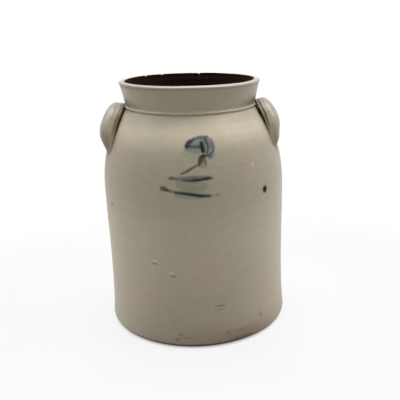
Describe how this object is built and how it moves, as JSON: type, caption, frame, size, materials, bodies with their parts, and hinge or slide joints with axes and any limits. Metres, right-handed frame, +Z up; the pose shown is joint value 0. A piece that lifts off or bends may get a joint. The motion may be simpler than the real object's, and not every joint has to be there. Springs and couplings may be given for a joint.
{
  "type": "stoneware crock",
  "caption": "Salt-glazed stoneware storage crock with a flared collar, dark slip-coated inside and arched lug handles pressed onto its shoulder.",
  "frame": {"origin": "middle of the foot, on the surface that the crock stands on", "axes": "+Z up through the mouth, -Y towards the front with the capacity figure, +X through the right handle"},
  "size_m": [0.2208, 0.2208, 0.298],
  "materials": {
    "salt_glazed_stoneware": "grey-buff salt glaze, soft gloss with a faint orange-peel",
    "brown_slip": "dark brown slip coat, satin gloss"
  },
  "bodies": {
    "root": {"crock_body": "salt_glazed_stoneware", "slip_lining": "brown_slip", "left_lug_handle": "salt_glazed_stoneware", "right_lug_handle": "salt_glazed_stoneware"}
  },
  "joints": []
}
